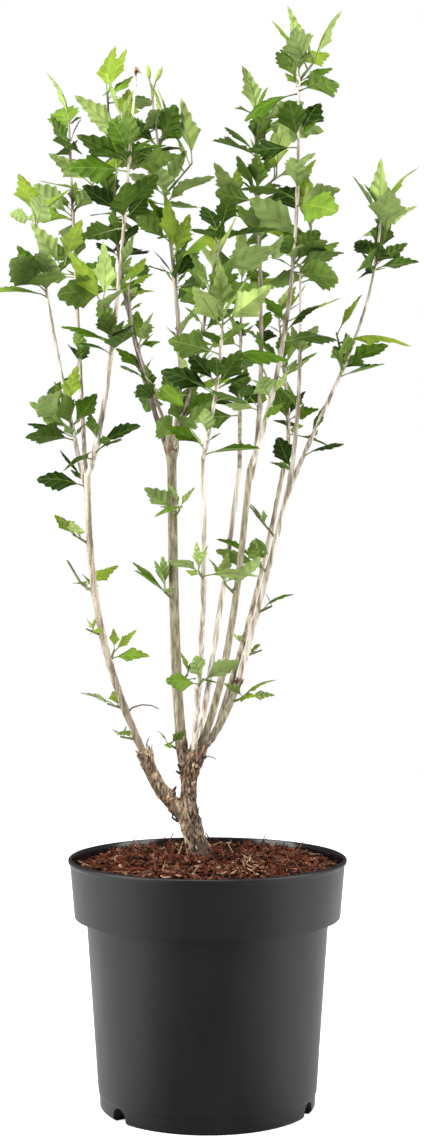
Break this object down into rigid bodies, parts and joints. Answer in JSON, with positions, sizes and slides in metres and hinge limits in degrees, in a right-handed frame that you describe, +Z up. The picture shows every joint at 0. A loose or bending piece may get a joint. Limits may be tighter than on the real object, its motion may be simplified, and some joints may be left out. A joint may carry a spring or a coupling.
{
  "type": "potted rose of sharon",
  "caption": "Young multi-stemmed rose of sharon shrub with a pruned woody base and leafy upright shoots, growing in a round tapered nursery pot.",
  "frame": {"origin": "centre of the pot's flat underside, on its base pad, where the pot's axis meets the ground", "axes": "+Z up along the pot's axis, +X to the plant's right and -Y to its front, both as seen from the front"},
  "size_m": [0.3373, 0.2915, 0.9016],
  "materials": {
    "pot": "satin black injection-moulded polypropylene",
    "soil": "rough shredded bark and potting mix",
    "bark": "dull grey-brown bark",
    "foliage": "soft satin leaf"
  },
  "bodies": {
    "root": {"pot": "pot", "potting_soil": "soil", "trunk": "bark", "left_bough": "bark", "left_rod": "bark", "centre_bough": "bark", "right_inner_bough": "bark", "right_outer_bough": "bark", "right_outer_rod": "bark", "right_back_rod": "bark", "middle_rod": "bark", "back_rod": "bark", "back_foliage": "foliage", "centre_front_foliage": "foliage", "centre_left_foliage": "foliage", "centre_low_foliage": "foliage", "centre_tall_foliage": "foliage", "left_back_foliage": "foliage", "left_front_foliage": "foliage", "left_outer_foliage": "foliage", "middle_foliage": "foliage", "right_back_foliage": "foliage", "right_centre_foliage": "foliage", "right_middle_foliage": "foliage", "right_outer_foliage": "foliage", "right_tall_foliage": "foliage", "centre_spray_1": "foliage", "centre_spray_2": "foliage", "centre_spray_3": "foliage", "centre_spray_4": "foliage", "left_rod_spray_1": "foliage", "left_rod_spray_2": "foliage", "left_rod_spray_3": "foliage", "left_rod_spray_4": "foliage", "left_rod_spray_5": "foliage", "left_rod_spray_6": "foliage", "middle_spray_1": "foliage", "middle_spray_2": "foliage", "right_bough_spray": "foliage", "right_inner_spray": "foliage", "right_rod_spray_1": "foliage", "right_rod_spray_2": "foliage", "right_rod_spray_3": "foliage", "right_rod_spray_4": "foliage"}
  },
  "joints": []
}
